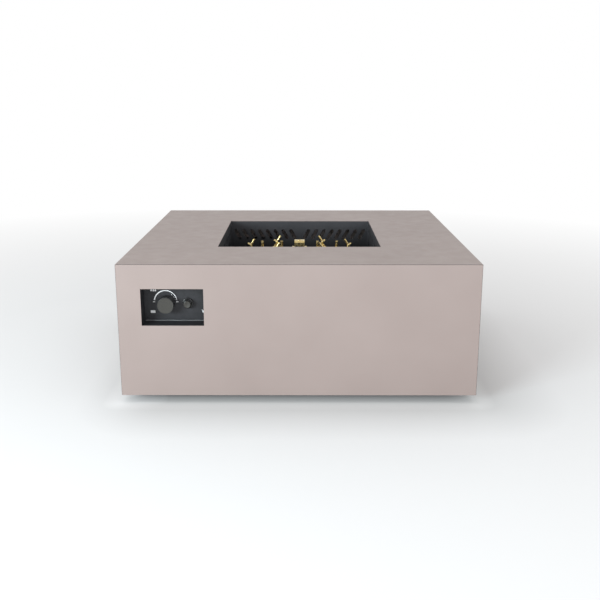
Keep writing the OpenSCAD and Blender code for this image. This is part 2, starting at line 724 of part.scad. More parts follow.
module gas_valve() {
    back = plate_t + valve_len;
    color("silver") difference() {
        union() {
            on_plate(knob_x, -back) translate([-valve_w / 2, -valve_w / 2, 0]) cube([valve_w, valve_w, valve_len]);
            on_plate(knob_x, -plate_t) cylinder(r = neck_r, h = plate_t + neck_reach);
            translate(outlet) cylinder(r = port_r, h = 20);
            on_plate(knob_x, -back - port_len) cylinder(r = port_r, h = port_len + eps);
        }
        on_plate(knob_x, -plate_t - valve_len + 6) cylinder(r = spindle_r + fit, h = valve_len + 20);
        translate(outlet - [0, 0, eps]) cylinder(r = port_bore, h = 18);
        on_plate(knob_x, -back - port_len - eps) cylinder(r = port_bore, h = port_len + 2);
    }
}

module valve_nut() color("silver") on_plate(knob_x) difference() {
    hexagon(20, 5);
    translate([0, 0, -eps]) cylinder(r = neck_r + fit, h = 5 + 2 * eps);
}

module spindle_collar() color("silver") on_plate(knob_x, collar_u) tube(6, spindle_r + fit, collar_t);

// a coil spring from the origin along +Z
module coil_spring(mean_r, turns, len) {
    per_turn = 20;
    rise = len - 2 * spring_wire - 0.2;
    path = [for (i = [0 : per_turn * turns]) let (a = 360 * i / per_turn)
        [mean_r * cos(a), mean_r * sin(a), spring_wire + 0.1 + rise * i / (per_turn * turns)]];
    swept_tube(path, spring_wire, 8);
}

module knob_spring() color("silver") on_plate(knob_x, neck_reach) coil_spring(4.7, 3, spring_len);

module valve_spindle() color("silver") on_plate(knob_x, -spindle_tail) difference() {
    cylinder(r = spindle_r, h = spindle_tail + knob_reach - spindle_back);
    translate([flat_in, -5, spindle_tail + hub_u + 1]) cube([5, 10, 40]);
}

// half the knob's section: a skirted cap with a hub on the spindle
module knob_profile(r, len) {
    foot = hub_u - knob_foot;
    polygon([
        [0, foot], [8, foot], [8, len - 4], [r - knob_wall - 1.4, len - 4], [r - knob_wall, 0], [r, 0],
        [r, 4], [r - 0.8, 5], [r - 1.4, len - 1.5], [r - 2.9, len], [0, len],
    ]);
}

module control_knob() {
    r = knob_d / 2;
    len = knob_reach - knob_foot;
    color("darkslategray") on_plate(knob_x, knob_foot) difference() {
        rotate_extrude() knob_profile(r, len);
        // spindle bore with its flat, and the index groove
        difference() {
            translate([0, 0, -eps]) cylinder(r = spindle_r + fit, h = len - spindle_back + 0.5 + eps);
            translate([flat_in + fit, -5, hub_u - knob_foot + 1]) cube([5, 10, 40]);
        }
        translate([r - 9, -0.9, len - 0.8]) cube([9, 1.8, 2]);
    }
}

// ---- igniter ----

module igniter_barrel() color("black") on_plate(button_x) difference() {
    union() {
        cylinder(r = bezel_r, h = bezel_t - 1.5);
        translate([0, 0, bezel_t - 1.5]) cylinder(r1 = bezel_r, r2 = bezel_r - 1.5, h = 1.5);
        cylinder(r = guard_r, h = guard_u);
        translate([0, 0, -barrel_len]) cylinder(r = barrel_r, h = barrel_len + 1);
    }
    translate([0, 0, -barrel_len + 4]) cylinder(r = button_d / 2 + fit, h = barrel_len + guard_u);
    translate([0, 0, bezel_t]) cylinder(r = head_d / 2 + fit, h = guard_u);
}

module igniter_nut() color("black") on_plate(button_x, -plate_t - 6) difference() {
    hexagon(30, 6);
    translate([0, 0, -eps]) cylinder(r = barrel_r + fit, h = 6 + 2 * eps);
}

module igniter_button() color("dimgray") on_plate(button_x, button_root) {
    len = button_reach - button_crown - button_root;
    cylinder(d = button_d, h = len);
    translate([0, 0, head_foot - button_root]) cylinder(d = head_d, h = len + button_root - head_foot);
    translate([0, 0, len]) cylinder(d1 = head_d, d2 = head_d - 2 * button_crown, h = button_crown);
}

// the spring stands on the battery and lifts the button
module igniter_spring() {
    foot = battery_back + battery_len - barrel_len;
    color("silver") on_plate(button_x, foot) coil_spring(5.5, 4, button_root - foot);
}

module igniter_battery() color("olivedrab") on_plate(button_x, battery_back - barrel_len) {
    cylinder(r = 7.2, h = battery_len);
    cylinder(r = 2.7, h = battery_len + 1.2);
}

// ---- gas line ----

module inlet_bracket() {
    x = -inner + base_t;
    y = inlet_pos[1];
    reach = inlet_pos[0] + 20 - x;
    color("silver") difference() {
        union() {
            translate([x, y - inlet_hex, inlet_plate_z]) cube([reach, 2 * inlet_hex, inlet_plate_t]);
            translate([x, y - inlet_hex, floor_gap + base_t])
                cube([inlet_plate_t, 2 * inlet_hex, inlet_plate_z - floor_gap - base_t + 1]);
        }
        translate([inlet_pos[0], y, inlet_plate_z - eps]) cylinder(r = inlet_d / 2 + fit, h = inlet_plate_t + 2 * eps);
    }
}

module gas_inlet() color("goldenrod") translate([inlet_pos[0], inlet_pos[1], inlet_plate_z]) difference() {
    union() {
        translate([0, 0, -inlet_len - 7]) cylinder(d = inlet_d, h = inlet_len + 7 + inlet_top - inlet_plate_z);
        translate([0, 0, -7]) hexagon(inlet_hex, 7);
        translate([0, 0, inlet_plate_t]) hexagon(inlet_hex, 6);
    }
    translate([0, 0, -inlet_len - 8]) cylinder(r = inlet_bore, h = inlet_len + 8 + inlet_top - inlet_plate_z + eps);
}

module inlet_line() color("silver") swept_tube(curve(inlet_route, 5), line_r, 12);
module burner_line() color("silver") swept_tube(curve(burner_route, 5), line_r, 12);
module ignition_lead() color("black") swept_tube(curve(ignition_route, 5), lead_r, 8);
module thermocouple_lead() color("peru") swept_tube(curve(thermo_route, 5), lead_r, 8);

// ---- levelling feet ----

module foot_pad() color("black") {
    cylinder(r1 = pad_d / 2 - 1, r2 = pad_d / 2, h = 2);
    translate([0, 0, 2]) cylinder(r = pad_d / 2, h = pad_h - 4);
    translate([0, 0, pad_h - 2]) cylinder(r1 = pad_d / 2, r2 = 14, h = 2);
}

module foot_stud() color("silver") {
    translate([0, 0, pad_h]) hexagon(stud_d + 9, foot_nut_t);
    translate([0, 0, pad_h]) cylinder(d = stud_d, h = stud_top - pad_h);
}

module foot_at(sx, sy) { translate([sx * foot_pos, sy * foot_pos, 0]) children(); }

top_panel();
front_panel();
back_panel();
left_panel();
right_panel();
access_jamb();
access_magnets();
access_panel();
base_frame();
top_frame();
color("dimgray") mirror([1, 0, 0]) tray_rail();  // tray_rail_left
color("dimgray") tray_rail();  // tray_rail_right
corner_posts();
fire_tray();
burner_hub();
hub_plug();
burner_riser();
riser_locknuts();
arm_nuts();
inner_arms();
cross_fittings();
outer_arms();
branch_pipes();
end_caps();
jet_heads();
long_nozzles();
short_nozzles();
upright_jets();
pilot_bracket();
spark_electrode();
thermocouple();
control_box();
control_plate();
plate_screws();
gas_valve();
valve_nut();
spindle_collar();
knob_spring();
valve_spindle();
control_knob();
igniter_barrel();
igniter_nut();
igniter_button();
igniter_spring();
igniter_battery();
inlet_bracket();
gas_inlet();
inlet_line();
burner_line();
ignition_lead();
thermocouple_lead();
foot_at(-1, -1) foot_pad();  // foot_pad_front_left
foot_at(1, -1) foot_pad();  // foot_pad_front_right
foot_at(-1, 1) foot_pad();  // foot_pad_back_left
foot_at(1, 1) foot_pad();  // foot_pad_back_right
foot_at(-1, -1) foot_stud();  // foot_stud_front_left
foot_at(1, -1) foot_stud();  // foot_stud_front_right
foot_at(-1, 1) foot_stud();  // foot_stud_back_left
foot_at(1, 1) foot_stud();  // foot_stud_back_right
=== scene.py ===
# Square gas fire pit table: powder-coated shell, black fire tray, brass jet burner, recessed gas control.
import json
import math

import bmesh
import bpy
import numpy as np
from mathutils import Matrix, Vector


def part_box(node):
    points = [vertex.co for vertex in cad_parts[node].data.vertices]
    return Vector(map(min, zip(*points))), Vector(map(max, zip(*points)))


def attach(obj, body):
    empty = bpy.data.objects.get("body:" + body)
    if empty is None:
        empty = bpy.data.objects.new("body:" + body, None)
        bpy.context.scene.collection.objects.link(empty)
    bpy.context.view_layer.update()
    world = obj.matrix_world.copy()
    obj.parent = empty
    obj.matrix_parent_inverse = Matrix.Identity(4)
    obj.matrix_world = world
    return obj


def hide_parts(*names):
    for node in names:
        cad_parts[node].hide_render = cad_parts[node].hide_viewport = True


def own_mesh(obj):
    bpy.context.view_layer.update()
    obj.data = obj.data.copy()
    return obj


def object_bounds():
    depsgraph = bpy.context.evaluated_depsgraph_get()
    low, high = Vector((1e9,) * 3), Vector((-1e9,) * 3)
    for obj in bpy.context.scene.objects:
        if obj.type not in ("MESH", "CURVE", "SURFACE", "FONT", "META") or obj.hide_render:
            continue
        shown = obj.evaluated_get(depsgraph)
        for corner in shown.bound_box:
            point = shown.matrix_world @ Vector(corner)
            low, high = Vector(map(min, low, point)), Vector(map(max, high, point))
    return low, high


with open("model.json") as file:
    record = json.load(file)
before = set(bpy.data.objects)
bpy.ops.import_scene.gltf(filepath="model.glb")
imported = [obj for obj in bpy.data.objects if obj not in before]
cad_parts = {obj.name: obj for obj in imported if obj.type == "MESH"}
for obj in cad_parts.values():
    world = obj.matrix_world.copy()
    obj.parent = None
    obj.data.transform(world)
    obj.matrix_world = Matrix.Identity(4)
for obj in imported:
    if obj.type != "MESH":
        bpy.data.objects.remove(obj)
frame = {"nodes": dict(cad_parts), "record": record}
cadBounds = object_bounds()
nodes = frame["nodes"]
mm = 0.001
print("frame loaded:", len(nodes), "CAD nodes")


def linearColour(hexCode):
    # sRGB hex to linear RGBA
    parts = [int(hexCode[i:i + 2], 16) / 255 for i in (1, 3, 5)]
    return [c / 12.92 if c <= 0.04045 else ((c + 0.055) / 1.055) ** 2.4 for c in parts] + [1.0]


def addNode(tree, kind, settings=None, inputs=None):
    # a node with its settings, and its inputs as fixed values or links
    node = tree.nodes.new("ShaderNode" + kind)
    for key, value in (settings or {}).items():
        setattr(node, key, value)
    for key, value in (inputs or {}).items():
        if isinstance(value, bpy.types.NodeSocket):
            tree.links.new(value, node.inputs[key])
        else:
            node.inputs[key].default_value = value
    return node


def newMaterial(name, **shader):
    material = bpy.data.materials.new(name)
    material.use_nodes = True
    tree = material.node_tree
    tree.nodes.clear()
    surface = addNode(tree, "BsdfPrincipled", inputs={key.replace("_", " "): v for key, v in shader.items()})
    output = addNode(tree, "OutputMaterial")
    tree.links.new(surface.outputs["BSDF"], output.inputs["Surface"])
    material.diffuse_color = shader.get("Base_Color", [0.5, 0.5, 0.5, 1])
    return material, tree, surface


def noiseAt(tree, sizeMm, detail=2.0, stretch=(1, 1, 1)):
    # noise whose blotches are about sizeMm across
    place = addNode(tree, "TexCoord").outputs["Object"]
    if stretch != (1, 1, 1):
        place = addNode(tree, "Mapping", inputs={"Vector": place, "Scale": stretch}).outputs["Vector"]
    settings = {"Vector": place, "Scale": 1 / (sizeMm * mm), "Detail": detail}
    return addNode(tree, "TexNoise", inputs=settings).outputs["Fac"]


def spread(tree, fac, low, high, fromLow=0.3, fromHigh=0.7):
    limits = {"Value": fac, "From Min": fromLow, "From Max": fromHigh, "To Min": low, "To Max": high}
    return addNode(tree, "MapRange", inputs=limits).outputs["Result"]


def varyColour(tree, surface, fac, dark, light):
    mix = addNode(tree, "Mix", {"data_type": "RGBA"}, {0: fac, 6: linearColour(dark), 7: linearColour(light)})
    tree.links.new(mix.outputs[2], surface.inputs["Base Color"])


def bumpFrom(tree, surface, height, depthMm, strength=1.0):
    bump = addNode(tree, "Bump", inputs={"Height": height, "Distance": depthMm * mm, "Strength": strength})
    tree.links.new(bump.outputs["Normal"], surface.inputs["Normal"])


shellLook = dict(light="#8d7f7a", dark="#887a75", grainMm=3.2, grainDeep=0.05)
# the tray's near-black third colour is painted shade for the lower part of the pit
trayLook = dict(light="#38383b", dark="#303033", paintedShade="#0c0c0e", shadeFrom=0.3, shadeTo=0.425)
brassLook = dict(light="#dccb9a", dark="#bba36a")


def powderCoatTaupe():
    # polyester powder coat, sprayed and baked: satin, with a soft orange peel.
    # Its real peel is about 1 mm across and is drawn 3 mm, so that it shows.
    look = shellLook
    material, tree, surface = newMaterial("powderCoatTaupe", Roughness=0.46, IOR=1.5)
    varyColour(tree, surface, spread(tree, noiseAt(tree, 260, 3), 0, 1), look["dark"], look["light"])
    bumpFrom(tree, surface, noiseAt(tree, look["grainMm"], 1), look["grainDeep"], 0.5)
    rough = spread(tree, noiseAt(tree, 40, 3), 0.42, 0.5)
    tree.links.new(rough, surface.inputs["Roughness"])
    return material


def heatProofBlack():
    # silicone heat-proof paint on folded steel: flat and slightly uneven, with painted shade making it darker
    # towards the bottom
    look = trayLook
    material, tree, surface = newMaterial("heatProofBlack", Roughness=0.55, IOR=1.45, Specular_IOR_Level=0.3)
    blotch = spread(tree, noiseAt(tree, 60, 4), 0, 1)
    # painted shade: the paint darkens to near black towards the bottom of the tray
    place = addNode(tree, "TexCoord").outputs["Object"]
    height = addNode(tree, "SeparateXYZ", inputs={0: place}).outputs["Z"]
    unshaded = spread(tree, height, 0, 1, look["shadeFrom"], look["shadeTo"])
    paint = addNode(tree, "Mix", {"data_type": "RGBA"},
                    {0: blotch, 6: linearColour(look["dark"]), 7: linearColour(look["light"])}).outputs[2]
    mixed = {0: unshaded, 6: linearColour(look["paintedShade"]), 7: paint}
    coat = addNode(tree, "Mix", {"data_type": "RGBA"}, mixed).outputs[2]
    tree.links.new(coat, surface.inputs["Base Color"])
    bumpFrom(tree, surface, noiseAt(tree, 2.5, 2), 0.06, 0.5)
    tree.links.new(spread(tree, noiseAt(tree, 25, 3), 0.48, 0.64), surface.inputs["Roughness"])
    return material


def structureBlack():
    # plain black paint on hot-rolled angle: matte, with mill scale showing through as blotches
    material, tree, surface = newMaterial("structureBlack", Roughness=0.7, IOR=1.45)
    varyColour(tree, surface, spread(tree, noiseAt(tree, 18, 4), 0, 1), "#1f1f20", "#2b2a2a")
    bumpFrom(tree, surface, noiseAt(tree, 1.6, 3), 0.08, 0.6)
    return material


def controlBlack():
    # fine-textured black powder coat on the folded control box and plate
    material, tree, surface = newMaterial("controlBlack", Roughness=0.5, IOR=1.5, Specular_IOR_Level=0.3)
    varyColour(tree, surface, spread(tree, noiseAt(tree, 9, 3), 0, 1), "#252527", "#2c2c2f")
    bumpFrom(tree, surface, noiseAt(tree, 1.4, 1), 0.05, 0.6)
    return material


def burnerBrass():
    # machined brass bar and pipe: bright, with drawn lines and a little tarnish in blotches
    look = brassLook
    material, tree, surface = newMaterial("burnerBrass", Metallic=1.0, Roughness=0.28)
    patches = spread(tree, noiseAt(tree, 9, 4), 0, 1, 0.35, 0.75)
    varyColour(tree, surface, patches, look["dark"], look["light"])
    tree.links.new(spread(tree, noiseAt(tree, 5, 3), 0.2, 0.38), surface.inputs["Roughness"])
    bumpFrom(tree, surface, noiseAt(tree, 0.9, 2, (1, 1, 6)), 0.03, 0.5)
    return material


def zincPlate():
    # zinc-plated steel: pale grey metal with a faint crystalline mottle
    material, tree, surface = newMaterial("zincPlate", Metallic=1.0, Roughness=0.38)
    varyColour(tree, surface, spread(tree, noiseAt(tree, 4, 3), 0, 1), "#a9abad", "#c7c8c6")
    bumpFrom(tree, surface, noiseAt(tree, 1.2, 2), 0.03, 0.5)
    return material


def castAluminium():
    # die-cast aluminium: soft grey, fine sandy skin
    material, tree, surface = newMaterial("castAluminium", Metallic=1.0, Roughness=0.5)
    varyColour(tree, surface, spread(tree, noiseAt(tree, 6, 3), 0, 1), "#a3a4a6", "#babbbb")
    bumpFrom(tree, surface, noiseAt(tree, 0.9, 2), 0.06, 0.8)
    return material


def mouldedBlack():
    # glossy moulded phenolic: near-black with a faint flow pattern
    material, tree, surface = newMaterial("mouldedBlack", Roughness=0.22, IOR=1.5)
    varyColour(tree, surface, spread(tree, noiseAt(tree, 7, 2), 0, 1), "#141415", "#1c1c1d")
    bumpFrom(tree, surface, noiseAt(tree, 2, 1), 0.02, 0.3)
    return material


def knobBlack():
    # soft-touch lacquer over a die-cast knob: satin charcoal
    material, tree, surface = newMaterial("knobBlack", Roughness=0.42, IOR=1.5)
    varyColour(tree, surface, spread(tree, noiseAt(tree, 5, 2), 0, 1), "#232323", "#2b2b2a")
    bumpFrom(tree, surface, noiseAt(tree, 0.8, 2), 0.03, 0.5)
    return material


def capGrey():
    # hard-anodised aluminium facing, turned on a lathe: warm dark grey with a soft sheen
    material, tree, surface = newMaterial("capGrey", Roughness=0.5, IOR=1.6, Specular_IOR_Level=0.3)
    varyColour(tree, surface, spread(tree, noiseAt(tree, 6, 3), 0, 1), "#2d2b27", "#33312c")
    bumpFrom(tree, surface, noiseAt(tree, 0.8, 2), 0.02, 0.4)
    return material


def printWhite():
    # screen-printed epoxy ink: matte white, slightly uneven
    material, tree, surface = newMaterial("printWhite", Roughness=0.6, IOR=1.45)
    varyColour(tree, surface, spread(tree, noiseAt(tree, 2, 2), 0, 1), "#d9d9d9", "#f1f1f1")
    return material


def footRubber():
    # moulded nitrile rubber: black, dull, fine grain
    material, tree, surface = newMaterial("footRubber", Roughness=0.8, IOR=1.52)
    varyColour(tree, surface, spread(tree, noiseAt(tree, 6, 3), 0, 1), "#161616", "#202020")
    bumpFrom(tree, surface, noiseAt(tree, 1.2, 3), 0.08, 0.7)
    return material


def glazedPorcelain():
    # glazed alumina porcelain: warm white and glossy
    material, tree, surface = newMaterial("glazedPorcelain", Roughness=0.15, IOR=1.55)
    varyColour(tree, surface, spread(tree, noiseAt(tree, 5, 2), 0, 1), "#e4e0d6", "#f0ede6")
    return material


def drawnCopper():
    # drawn copper capillary: pinkish metal, tarnished in patches
    material, tree, surface = newMaterial("drawnCopper", Metallic=1.0, Roughness=0.34)
    varyColour(tree, surface, spread(tree, noiseAt(tree, 12, 3), 0, 1), "#9c5f45", "#c98662")
    return material


def batterySleeve():
    # shrink-wrapped battery sleeve: smooth dark green film
    material, tree, surface = newMaterial("batterySleeve", Roughness=0.3, IOR=1.5)
    varyColour(tree, surface, spread(tree, noiseAt(tree, 10, 2), 0, 1), "#2b4a26", "#33562d")
    return material


taupe = powderCoatTaupe()
trayBlack = heatProofBlack()
frameBlack = structureBlack()
panelBlack = controlBlack()
brass = burnerBrass()
zinc = zincPlate()
aluminium = castAluminium()
glossBlack = mouldedBlack()
satinBlack = knobBlack()
greyCap = capGrey()
whiteInk = printWhite()
rubber = footRubber()
porcelain = glazedPorcelain()
copper = drawnCopper()
greenSleeve = batterySleeve()

finishes = {
    "powder_coat": taupe, "black_enamel": trayBlack, "frame_paint": frameBlack, "control_black": panelBlack,
    "knob_metal": satinBlack, "igniter_black": glossBlack, "button_grey": greyCap,
    "battery_sleeve": greenSleeve, "foot_rubber": rubber, "lead_sleeve": rubber,
    "electrode_ceramic": porcelain, "valve_aluminium": aluminium,
    "brass": brass, "copper_tube": copper, "zinc_steel": zinc,
}
slotOf = {part["node"]: part["material_slot"] for part in frame["record"]["subparts"]}
for name, piece in nodes.items():
    piece.data.materials.clear()
    piece.data.materials.append(finishes[slotOf[name]])
# the screws in the control plate are blacked like the plate
nodes["plate_screws"].data.materials[0] = panelBlack
print("materials given to", len(nodes), "nodes")


# edge radius in mm, and how many facets it has
easedEdges = {
    "top_panel": (0.25, 2), "front_panel": (0.25, 2), "back_panel": (0.25, 2), "left_panel": (0.25, 2),
    "right_panel": (0.25, 2), "access_panel": (0.5, 2), "fire_tray": (0.3, 1), "burner_hub": (1.2, 3),
    "arm_nuts": (0.5, 2), "riser_locknuts": (0.5, 2), "end_caps": (0.5, 2), "cross_fittings": (0.4, 2),
    "control_plate": (0.5, 2), "control_box": (0.4, 2), "base_frame": (0.8, 2), "top_frame": (0.8, 2),
    "corner_posts": (0.8, 2), "tray_rail_left": (0.8, 2), "tray_rail_right": (0.8, 2), "gas_valve": (0.8, 2),
    "pilot_bracket": (0.3, 2), "inlet_bracket": (0.5, 2), "jet_heads": (0.25, 2), "hub_plug": (0.3, 2),
}


def easeEdges(piece, radiusMm, facets):
    weld = piece.modifiers.new("weld", "WELD")
    weld.merge_threshold = 0.00001
    bevel = piece.modifiers.new("ease", "BEVEL")
    bevel.width = radiusMm * mm
    bevel.segments = facets
    bevel.limit_method = "ANGLE"
    bevel.angle_limit = math.radians(40)
    bevel.use_clamp_overlap = True
    bevel.harden_normals = False


for name, (radiusMm, facets) in easedEdges.items():
    easeEdges(nodes[name], radiusMm, facets)
print("edges eased on", len(easedEdges), "nodes")


def makePiece(name, points, faces, material, smoothAngle=35):
    mesh = bpy.data.meshes.new(name)
    mesh.from_pydata(points.tolist(), [], faces.tolist())
    mesh.validate()
    shape = bmesh.new()
    shape.from_mesh(mesh)
    bmesh.ops.remove_doubles(shape, verts=shape.verts, dist=2e-6)
    bmesh.ops.dissolve_degenerate(shape, edges=shape.edges, dist=1e-7)
    bmesh.ops.recalc_face_normals(shape, faces=shape.faces)
    shape.to_mesh(mesh)
    shape.free()
    mesh.materials.append(material)
    mesh.shade_smooth()
    mesh.set_sharp_from_angle(angle=math.radians(smoothAngle))
    piece = bpy.data.objects.new(name, mesh)
    bpy.context.scene.collection.objects.link(piece)
    return piece


def gridFaces(rows, columns, loopRows=False, loopColumns=True, first=0):
    # quads between neighbouring points of a rows x columns grid
    i = np.arange(rows if loopRows else rows - 1)[:, None]
    j = np.arange(columns if loopColumns else columns - 1)[None, :]
    a = i * columns + j
    b = i * columns + (j + 1) % columns
    c = ((i + 1) % rows) * columns + (j + 1) % columns
    d = ((i + 1) % rows) * columns + j
    return first + np.stack(np.broadcast_arrays(a, b, c, d), -1).reshape(-1, 4)


def turned(profile, sides, shaped=None):
    # a profile of (radius, height) carried round the Z axis; shaped(angle, height, radius)
    # may change the radius
    profile = np.asarray(profile, float)
    angle = np.linspace(0, 2 * np.pi, sides, endpoint=False)[None, :]
    radius = profile[:, :1] + 0 * angle
    if shaped:
        radius = np.where(radius > 0, shaped(angle, profile[:, 1:], radius), 0)
    height = np.broadcast_to(profile[:, 1:], (len(profile), sides))
    points = np.stack([radius * np.cos(angle), radius * np.sin(angle), height], -1).reshape(-1, 3)
    return points, gridFaces(len(profile), sides)


def onPlate(points, axisX, axisZ, plateY):
    # local +Z comes forward, out of the control plate
    x, y, z = points.T
    return np.stack([axisX + x, plateY - z, axisZ + y], -1)


plateLow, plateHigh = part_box("control_plate")
knobLow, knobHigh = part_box("control_knob")
knobX, knobZ = (knobLow[0] + knobHigh[0]) / 2, (knobLow[2] + knobHigh[2]) / 2
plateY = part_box("valve_nut")[1][1]          # the nut stands on the plate's front face
knobShape = dict(flutes=36, fluteDeep=0.9 * mm, rim=0.5 * mm, wall=3 * mm, boreR=3.05 * mm, hubR=8 * mm,
                 taper=0.7 * mm, inlay=0.3 * mm, skin=4 * mm, sides=288)


def knobProfile(radius, foot, face, hubFoot):
    k = knobShape
    ease = np.linspace(0, np.pi / 2, 7)
    crest = radius - k["taper"] - k["rim"]
    rim = np.stack([crest + k["rim"] * np.cos(ease), face - k["rim"] + k["rim"] * np.sin(ease)], -1)
    boreEnd = face - k["skin"] - 1.5 * mm
    roof = face - k["skin"]
    inside = [[0, boreEnd], [k["boreR"], boreEnd], [k["boreR"], hubFoot], [k["hubR"], hubFoot],
              [k["hubR"], roof], [radius - k["wall"] - 1.4 * mm, roof], [radius - k["wall"], foot]]
    skirt = [[radius - 0.4 * mm, foot], [radius, foot + 0.4 * mm], [radius, foot + 3.6 * mm],
             [radius - 0.2 * mm, foot + 4.2 * mm], [radius - 0.3 * mm, foot + 5 * mm]]
    grip = np.stack([np.linspace(radius - 0.3 * mm, radius - k["taper"], 22),
                     np.linspace(foot + 5.4 * mm, face - k["rim"] - 0.4 * mm, 22)], -1)
    top = [[crest - k["inlay"], face], [crest - k["inlay"], face - 0.5 * mm], [0, face - 0.5 * mm]]
    return np.vstack([inside, skirt, grip, rim, top])


def knobPiece():
    k = knobShape
    radius = (knobHigh[0] - knobLow[0]) / 2
    foot, face = plateY - knobHigh[1], plateY - knobLow[1]
    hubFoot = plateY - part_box("spindle_collar")[0][1] + 0.3 * mm

    def flutes(angle, height, round):
        # round grooves that fade in above the skirt and out below the rim
        fade = np.clip((height - foot - 5.4 * mm) / (2 * mm), 0, 1)
        fade = fade * np.clip((face - 2.2 * mm - height) / (2 * mm), 0, 1)
        groove = np.abs(np.cos(k["flutes"] * angle / 2)) ** 0.8
        grip = round > k["hubR"] + 4 * mm
        return round - grip * k["fluteDeep"] * (1 - groove) * fade * fade * (3 - 2 * fade)

    points, faces = turned(knobProfile(radius, foot, face, hubFoot), k["sides"], flutes)
    piece = makePiece("controlKnob", onPlate(points, knobX, knobZ, plateY), faces, satinBlack)
    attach(piece, "knob")
    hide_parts("control_knob")
    # the facing sits in the knob's front, dished by a fraction of a millimetre and turned in fine rings
    discR = radius - k["taper"] - k["rim"] - k["inlay"] - 0.05 * mm
    rings = np.linspace(0, discR - 0.5 * mm, 60)
    discFoot = face - 0.48 * mm
    disc = [[0, discFoot], [discR, discFoot], [discR, face - 0.25 * mm], [discR - 0.3 * mm, face]]
    disc += [[r, face - 0.02 * mm - 0.25 * mm * (1 - (r / discR) ** 2) + 0.012 * mm * (i % 2)] for i, r in
             reversed(list(enumerate(rings)))]
    points, faces = turned(disc, 144)
    cap = makePiece("knobFacing", onPlate(points, knobX, knobZ, plateY), faces, greyCap)
    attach(cap, "knob")


knobPiece()
print("knob made")


buttonLow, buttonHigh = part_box("igniter_button")
barrelLow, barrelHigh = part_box("igniter_barrel")
buttonX, buttonZ = (buttonLow[0] + buttonHigh[0]) / 2, (buttonLow[2] + buttonHigh[2]) / 2


# bands in mm, measured from the control plate; the guard ring stands round the button's head
buttonShape = dict(flange=5 * mm, flangeRim=1.6 * mm, ringGap=0.3 * mm, ringWall=2.1 * mm, ridges=40,
                   ridgeDeep=0.35 * mm, lip=1.05 * mm, barrelR=10.8 * mm, boreR=8.6 * mm, endWall=4 * mm,
                   stemR=8.4 * mm, headLong=13 * mm, headRim=1.6 * mm, dish=0.8 * mm)


def buttonPieces():
    k = buttonShape
    bezelR = (barrelHigh[0] - barrelLow[0]) / 2
    headR = (buttonHigh[0] - buttonLow[0]) / 2
    guardIn = headR + k["ringGap"]
    guardOut = guardIn + k["ringWall"]
    guardTop = plateY - barrelLow[1]
    back = plateY - barrelHigh[1]
    face = plateY - buttonLow[1]
    # the barrel's profile: up its side behind the plate, round the flange's rolled rim, up the ridged ring,
    # over the lip, and down the two steps of the bore to the closed end
    ease = np.linspace(0, np.pi / 2, 8)
    rim = k["flangeRim"]
    brim = np.stack([bezelR - rim + rim * np.cos(ease), k["flange"] - rim + rim * np.sin(ease)], -1)
    sideTop = guardTop - k["lip"] - 0.1 * mm
    side = np.column_stack([np.full(16, guardOut), np.linspace(k["flange"], sideTop, 16)])
    turn = np.linspace(0, np.pi, 15)
    middleR = (guardIn + guardOut) / 2
    lipFoot = guardTop - k["lip"]
    lip = np.stack([middleR + (guardOut - middleR) * np.cos(turn), lipFoot + k["lip"] * np.sin(turn)], -1)
    behind = [[0, back], [k["barrelR"], back], [k["barrelR"], 0.05 * mm], [bezelR, 0.05 * mm]]
    bore = [[guardIn, k["flange"]], [k["boreR"], k["flange"]], [k["boreR"], back + k["endWall"]],
            [0, back + k["endWall"]]]

    def knurl(angle, height, round):
        low = np.clip((height - k["flange"] - 0.6 * mm) / (1.5 * mm), 0, 1)
        high = np.clip((guardTop - 1.8 * mm - height) / (1.5 * mm), 0, 1)
        outer = (round > middleR) & (round < guardOut + 0.2 * mm)
        return round - outer * low * high * k["ridgeDeep"] * (0.5 - 0.5 * np.cos(k["ridges"] * angle))

    points, faces = turned(np.vstack([behind, brim, side, lip, bore]), 240, knurl)
    barrel = makePiece("igniterBarrel", onPlate(points, buttonX, buttonZ, plateY), faces, glossBlack)
    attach(barrel, "table")
    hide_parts("igniter_barrel")
    edge = k["headRim"]
    round = np.stack([headR - edge + edge * np.cos(ease), face - edge + edge * np.sin(ease)], -1)
    dishR = headR - edge - 0.8 * mm
    dish = np.linspace(dishR, 0, 14)
    hollow = face - k["dish"] * (1 - (dish / dishR) ** 2) - 0.02 * mm
    root = plateY - buttonHigh[1]
    headFoot = face - k["headLong"]
    cap = np.vstack([[[0, root], [k["stemR"], root], [k["stemR"], headFoot], [headR, headFoot]], round,
                     np.column_stack([dish, hollow])])
    points, faces = turned(cap, 96)
    button = makePiece("ignitionButton", onPlate(points, buttonX, buttonZ, plateY), faces, greyCap)
    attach(button, "button")
    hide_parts("igniter_button")


buttonPieces()
print("ignition button made")


# the arc's centre stands a little up and left of the knob's axis
dial = dict(radius=34 * mm, thick=3.2 * mm, thin=1.3 * mm, ink=0.12 * mm, tickLong=7 * mm, tickWide=2 * mm,
            left=4 * mm, up=4 * mm)


def inkPrism(outline):
    # a closed outline in the plate's plane, given a thin layer's depth
    count = len(outline)
    i = np.arange(count)
    lower = np.column_stack([outline, np.full(count, 0.01 * mm)])
    upper = np.column_stack([outline, np.full(count, dial["ink"])])
    walls = np.stack([i, (i + 1) % count, (i + 1) % count + count, i + count], -1)
    return np.vstack([lower, upper]), [list(i[::-1]), list(i + count)] + walls.tolist()


